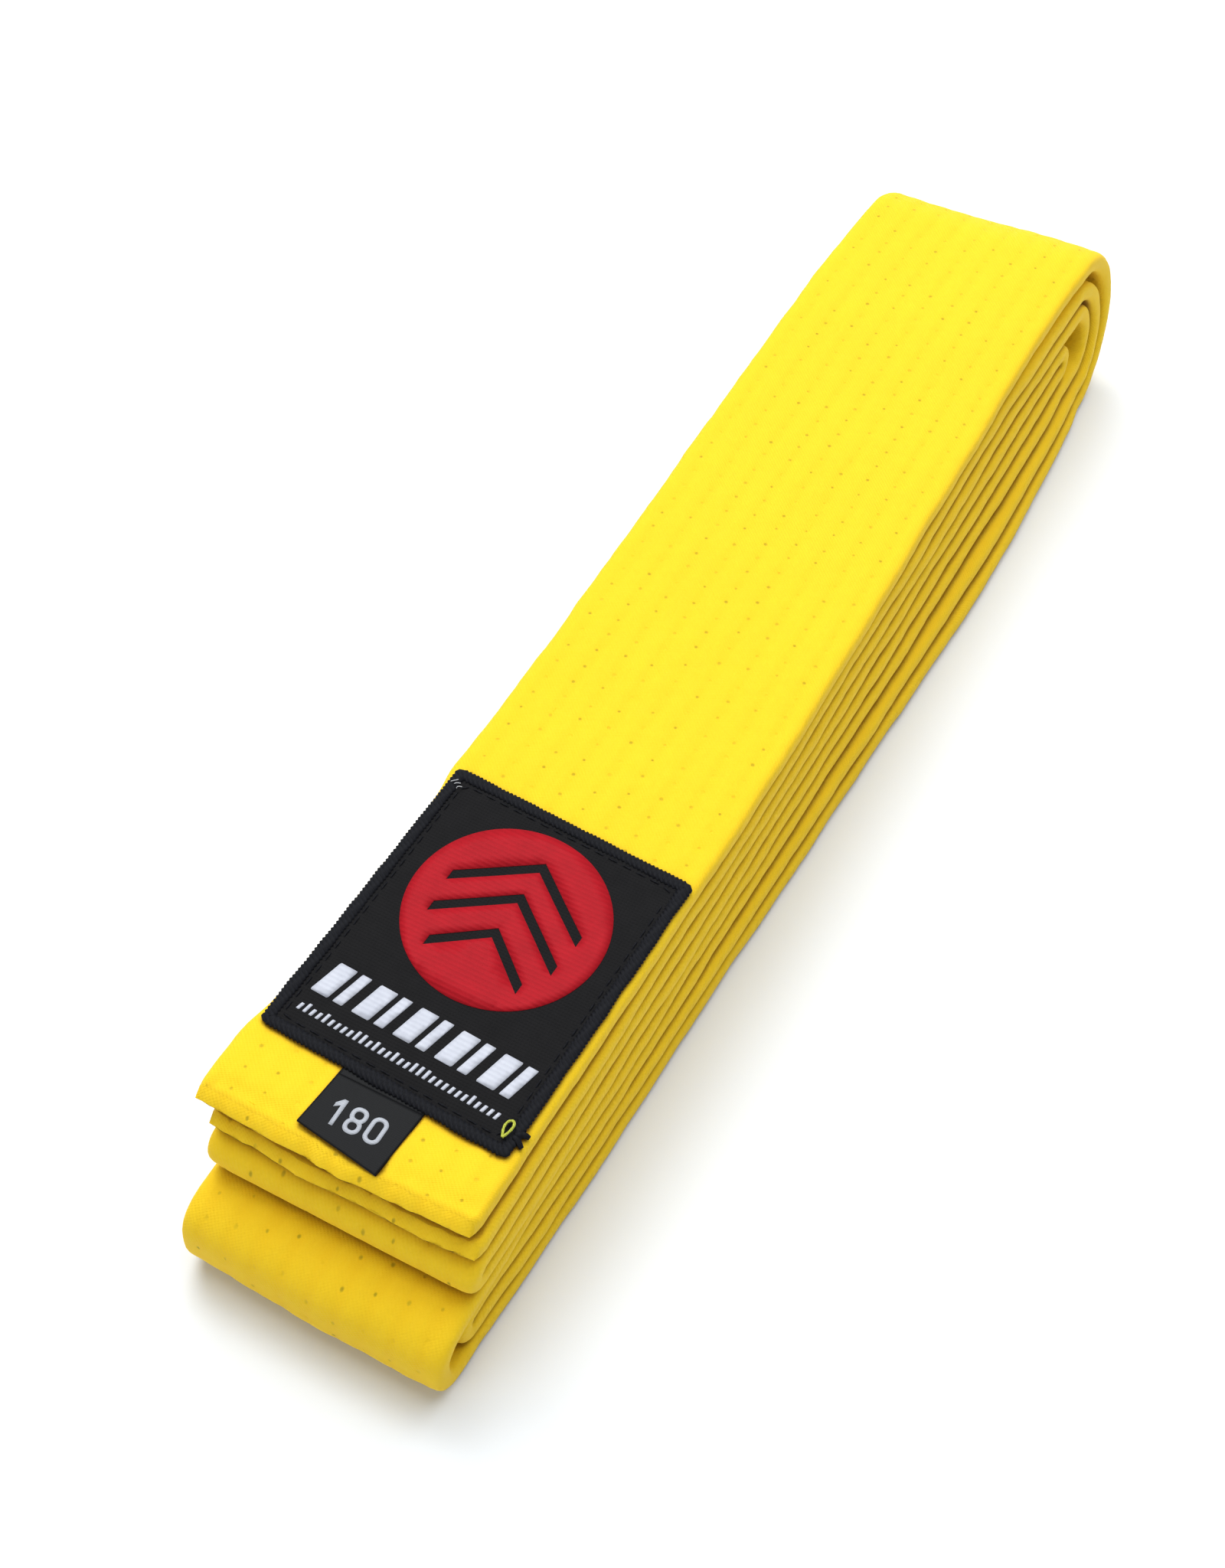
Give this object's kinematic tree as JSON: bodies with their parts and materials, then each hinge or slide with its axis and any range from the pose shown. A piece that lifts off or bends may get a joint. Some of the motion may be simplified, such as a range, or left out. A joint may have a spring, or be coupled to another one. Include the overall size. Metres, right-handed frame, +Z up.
{
  "type": "martial arts belt",
  "caption": "Stitched cotton martial arts belt folded into a flat pack, with a woven label and a small size tag at its free end; the last fold opens.",
  "frame": {"origin": "centre of the pack's footprint, on the surface it lies on", "axes": "+Y along the folded pack towards the nested bends of the last fold, the label is towards -Y; +Z up through the layers; X across the belt's width"},
  "size_m": [0.041, 0.2324, 0.0316],
  "materials": {
    "belt_cover": "soft matt cotton twill, bright yellow",
    "belt_core": "unbleached felted cotton",
    "sewing_thread": "spun cotton thread, slightly darker yellow",
    "label_ground": "black woven damask, matt",
    "label_binding": "thick black overlock thread",
    "label_motif": "red woven thread, satin",
    "label_marks": "white woven thread",
    "size_tag": "black satin ribbon",
    "tag_digits": "light grey print",
    "loose_thread": "yellow-green thread end"
  },
  "bodies": {
    "lower_stack": {"cover_panel_3": "belt_cover", "core_panel_3": "belt_core", "cover_panel_6": "belt_cover", "core_panel_6": "belt_core", "cover_panel_7": "belt_cover", "core_panel_7": "belt_core", "cover_panel_2": "belt_cover", "core_panel_2": "belt_core", "cover_bend_23": "belt_cover", "core_bend_23": "belt_core", "cover_bend_67": "belt_cover", "core_bend_67": "belt_core", "cover_bend_12": "belt_cover", "core_bend_12": "belt_core", "cover_bend_78": "belt_cover", "core_bend_78": "belt_core", "cover_bend_56": "belt_cover", "core_bend_56": "belt_core", "cover_bend_34": "belt_cover", "core_bend_34": "belt_core"},
    "upper_stack": {"cover_panel_1": "belt_cover", "cover_panel_4": "belt_cover", "cover_panel_5": "belt_cover", "cover_panel_8": "belt_cover", "core_panel_1": "belt_core", "core_panel_4": "belt_core", "core_panel_5": "belt_core", "core_panel_8": "belt_core", "cover_bend_45": "belt_cover", "core_bend_45": "belt_core", "end_hem_1": "belt_cover", "end_seam_1": "sewing_thread", "end_hem_8": "belt_cover", "end_seam_8": "sewing_thread", "quilting_row_1": "sewing_thread", "quilting_row_2": "sewing_thread", "quilting_row_3": "sewing_thread", "quilting_row_4": "sewing_thread", "quilting_row_5": "sewing_thread", "quilting_row_6": "sewing_thread", "quilting_row_7": "sewing_thread", "quilting_row_8": "sewing_thread", "quilting_row_9": "sewing_thread", "label_ground": "label_ground", "label_binding": "label_binding", "label_seam": "label_binding", "label_motif": "label_motif", "label_block_1": "label_marks", "label_block_2": "label_marks", "label_block_3": "label_marks", "label_block_4": "label_marks", "label_block_5": "label_marks", "label_line": "label_marks", "thread_loop": "loose_thread", "size_tag_root": "size_tag"},
    "size_tag": {"size_tag": "size_tag", "tag_digit_1": "tag_digits", "tag_digit_8": "tag_digits", "tag_digit_0": "tag_digits"}
  },
  "joints": [
    {"name": "last_fold", "type": "hinge", "parent": "lower_stack", "child": "upper_stack", "pos_m": [0, 0.101, 0.01505], "axis": [-1, 0, 0], "range_deg": [0, 175], "deforming": ["cover_bend_12", "core_bend_12", "cover_bend_78", "core_bend_78", "cover_bend_56", "core_bend_56", "cover_bend_34", "core_bend_34"]},
    {"name": "tag_lift", "type": "hinge", "parent": "upper_stack", "child": "size_tag", "pos_m": [-0.00045, -0.09605, 0.03065], "axis": [-1, 0, 0], "range_deg": [0, 135]}
  ]
}
